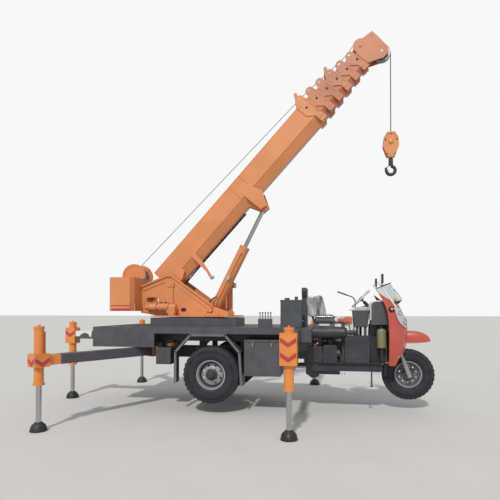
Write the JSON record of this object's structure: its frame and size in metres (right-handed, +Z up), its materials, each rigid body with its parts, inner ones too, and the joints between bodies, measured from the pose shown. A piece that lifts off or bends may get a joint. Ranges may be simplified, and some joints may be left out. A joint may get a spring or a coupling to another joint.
{
  "type": "three-wheeled truck crane",
  "caption": "Light three-wheeled truck crane with a slewing telescopic boom, winch and hook, standing on its extended outrigger legs.",
  "frame": {"origin": "on the ground under the middle of the crane's length and width with the legs out", "axes": "+X forward, +Y to the crane's left, +Z up"},
  "size_m": [6.016, 4.2401, 5.788],
  "materials": {
    "chassis_grey": "satin paint",
    "chrome_rod": "polished",
    "clear_glass": "clear",
    "cowl_red": "gloss paint",
    "crane_orange": "gloss paint",
    "dark_steel": "satin paint",
    "engine_iron": "oily",
    "grip_black": "moulded",
    "lamp_lens": "clear lens",
    "leg_orange": "gloss paint",
    "rim_silver": "satin paint",
    "seat_vinyl": "vinyl under plastic film",
    "sheave_steel": "greased",
    "tyre_rubber": "dusty rubber"
  },
  "bodies": {
    "chassis": {"frame": "chassis_grey", "deck": "chassis_grey", "turntable_base": "chassis_grey", "rear_axle": "dark_steel", "fenders": "chassis_grey", "side_boxes": "chassis_grey", "engine": "engine_iron", "air_cleaner": "dark_steel", "front_beam_box": "chassis_grey", "boom_rest": "chassis_grey", "oil_tank": "dark_steel", "cab_floor": "chassis_grey", "seat_base": "chassis_grey", "dash_units": "chassis_grey", "steering_column": "dark_steel", "seat_cushion": "seat_vinyl", "seat_back": "seat_vinyl", "cowl": "cowl_red", "windscreen": "clear_glass", "front_mudguard": "cowl_red", "headlamps": "lamp_lens"},
    "near_wheel": {"rear_tyre_near": "tyre_rubber", "rear_rim_near": "rim_silver"},
    "far_wheel": {"rear_tyre_far": "tyre_rubber", "rear_rim_far": "rim_silver"},
    "steered_fork": {"fork": "dark_steel"},
    "front_wheel": {"front_tyre": "tyre_rubber", "front_rim": "rim_silver"},
    "hand_wheel": {"steering_wheel": "grip_black"},
    "turret": {"turret_plate": "crane_orange", "turret_frame": "crane_orange", "control_panel": "crane_orange", "slew_drive": "crane_orange", "counterweight": "crane_orange", "winch_frame": "crane_orange"},
    "drum": {"winch_drum": "sheave_steel"},
    "barrel": {"lift_barrel": "crane_orange"},
    "rod": {"lift_rod": "chrome_rod"},
    "section_1": {"boom_1": "crane_orange"},
    "section_2": {"boom_2": "crane_orange"},
    "section_3": {"boom_3": "crane_orange"},
    "section_4": {"boom_4": "crane_orange"},
    "section_5": {"boom_5": "crane_orange"},
    "section_6": {"boom_6": "crane_orange"},
    "section_7": {"boom_7": "crane_orange"},
    "sheaves": {"hoist_sheaves": "sheave_steel"},
    "block": {"hook_block": "crane_orange"},
    "swivel_hook": {"hook": "dark_steel"},
    "front_beam_near": {"front_beam_near": "leg_orange"},
    "front_jack_near": {"front_leg_near": "chrome_rod"},
    "rear_arm_near": {"rear_arm_near": "leg_orange"},
    "rear_jack_near": {"rear_leg_near": "chrome_rod"},
    "front_beam_far": {"front_beam_far": "leg_orange"},
    "front_jack_far": {"front_leg_far": "chrome_rod"},
    "rear_arm_far": {"rear_arm_far": "leg_orange"},
    "rear_jack_far": {"rear_leg_far": "chrome_rod"},
    "tail_beam": {"tail_beam": "leg_orange"},
    "tail_jack": {"tail_leg": "chrome_rod"}
  },
  "joints": [
    {"name": "near_wheel_spin", "type": "hinge", "parent": "chassis", "child": "near_wheel", "pos_m": [-0.22, -0.75, 0.57], "axis": [0, 1, 0], "continuous": true},
    {"name": "far_wheel_spin", "type": "hinge", "parent": "chassis", "child": "far_wheel", "pos_m": [-0.22, 0.75, 0.57], "axis": [0, 1, 0], "continuous": true},
    {"name": "steer", "type": "hinge", "parent": "chassis", "child": "steered_fork", "pos_m": [2.59241, 0, 0.52432], "axis": [-0.342, 0, 0.9397], "range_deg": [-40, 40]},
    {"name": "front_wheel_spin", "type": "hinge", "parent": "steered_fork", "child": "front_wheel", "pos_m": [2.63, 0, 0.538], "axis": [0, 1, 0], "continuous": true},
    {"name": "hand_wheel_turn", "type": "hinge", "parent": "chassis", "child": "hand_wheel", "pos_m": [1.94, 0, 1.68], "axis": [-0.7071, 0, 0.7071], "range_deg": [-240, 240]},
    {"name": "slew", "type": "hinge", "parent": "chassis", "child": "turret", "pos_m": [-0.63, 0, 1.4], "axis": [0, 0, 1], "continuous": true},
    {"name": "winch_spin", "type": "hinge", "parent": "turret", "child": "drum", "pos_m": [-1.72, 0, 2.06], "axis": [0, 1, 0], "continuous": true},
    {"name": "luff", "type": "hinge", "parent": "turret", "child": "section_1", "pos_m": [-1.07, 0, 1.915], "axis": [0, -1, 0], "range_deg": [-43, 26]},
    {"name": "barrel_tilt", "type": "hinge", "parent": "turret", "child": "barrel", "pos_m": [-0.4, 0, 1.5], "axis": [0, -1, 0], "range_deg": [-45.5, 27.91]},
    {"name": "rod_slide", "type": "slide", "parent": "barrel", "child": "rod", "axis": [0.4517, 0, 0.8922], "range_m": [-0.5454, 0.3317]},
    {"name": "extend_2", "type": "slide", "parent": "section_1", "child": "section_2", "axis": [0.6782, 0, 0.7349], "range_m": [0, 2.5]},
    {"name": "extend_3", "type": "slide", "parent": "section_2", "child": "section_3", "axis": [0.6782, 0, 0.7349], "range_m": [0, 2.5]},
    {"name": "extend_4", "type": "slide", "parent": "section_3", "child": "section_4", "axis": [0.6782, 0, 0.7349], "range_m": [0, 2.5]},
    {"name": "extend_5", "type": "slide", "parent": "section_4", "child": "section_5", "axis": [0.6782, 0, 0.7349], "range_m": [0, 2.5]},
    {"name": "extend_6", "type": "slide", "parent": "section_5", "child": "section_6", "axis": [0.6782, 0, 0.7349], "range_m": [0, 2.5]},
    {"name": "extend_7", "type": "slide", "parent": "section_6", "child": "section_7", "axis": [0.6782, 0, 0.7349], "range_m": [0, 2.5]},
    {"name": "rope_swing", "type": "hinge", "parent": "section_7", "child": "sheaves", "pos_m": [2.26136, 0, 5.46617], "axis": [0, 1, 0], "range_deg": [-43, 26]},
    {"name": "hoist", "type": "slide", "parent": "sheaves", "child": "block", "axis": [0, 0, -1], "range_m": [-0.75, 1.6]},
    {"name": "hook_turn", "type": "hinge", "parent": "block", "child": "swivel_hook", "pos_m": [2.39636, 0, 4.07617], "axis": [0, 0, 1], "continuous": true},
    {"name": "front_beam_near_slide", "type": "slide", "parent": "chassis", "child": "front_beam_near", "axis": [0, -1, 0], "range_m": [-0.93, 0.17]},
    {"name": "front_jack_near_slide", "type": "slide", "parent": "front_beam_near", "child": "front_jack_near", "axis": [0, 0, -1], "range_m": [-0.45, 0]},
    {"name": "rear_arm_near_swing", "type": "hinge", "parent": "chassis", "child": "rear_arm_near", "pos_m": [-1.27, -0.45, 0.942], "axis": [0, 0, 1], "range_deg": [-61.74, 10]},
    {"name": "rear_jack_near_slide", "type": "slide", "parent": "rear_arm_near", "child": "rear_jack_near", "axis": [0, 0, -1], "range_m": [-0.45, 0]},
    {"name": "front_beam_far_slide", "type": "slide", "parent": "chassis", "child": "front_beam_far", "axis": [0, 1, 0], "range_m": [-1.1, 0]},
    {"name": "front_jack_far_slide", "type": "slide", "parent": "front_beam_far", "child": "front_jack_far", "axis": [0, 0, -1], "range_m": [-0.45, 0]},
    {"name": "rear_arm_far_swing", "type": "hinge", "parent": "chassis", "child": "rear_arm_far", "pos_m": [-1.27, 0.45, 0.942], "axis": [0, 0, -1], "range_deg": [-48, 25]},
    {"name": "rear_jack_far_slide", "type": "slide", "parent": "rear_arm_far", "child": "rear_jack_far", "axis": [0, 0, -1], "range_m": [-0.45, 0]},
    {"name": "tail_beam_slide", "type": "slide", "parent": "chassis", "child": "tail_beam", "axis": [-1, 0, 0], "range_m": [-0.35, 0]},
    {"name": "tail_jack_slide", "type": "slide", "parent": "tail_beam", "child": "tail_jack", "axis": [0, 0, -1], "range_m": [-0.45, 0]}
  ],
  "couplings": [
    {"joint": "hand_wheel_turn", "follows": "steer", "ratio": 6},
    {"joint": "barrel_tilt", "follows": "luff", "ratio": 1.035},
    {"joint": "rod_slide", "follows": "luff", "m_per_rad": 0.72},
    {"joint": "rope_swing", "follows": "luff", "ratio": 1},
    {"joint": "extend_3", "follows": "extend_2", "ratio": 1},
    {"joint": "extend_4", "follows": "extend_2", "ratio": 1},
    {"joint": "extend_5", "follows": "extend_2", "ratio": 1},
    {"joint": "extend_6", "follows": "extend_2", "ratio": 1},
    {"joint": "extend_7", "follows": "extend_2", "ratio": 1}
  ]
}
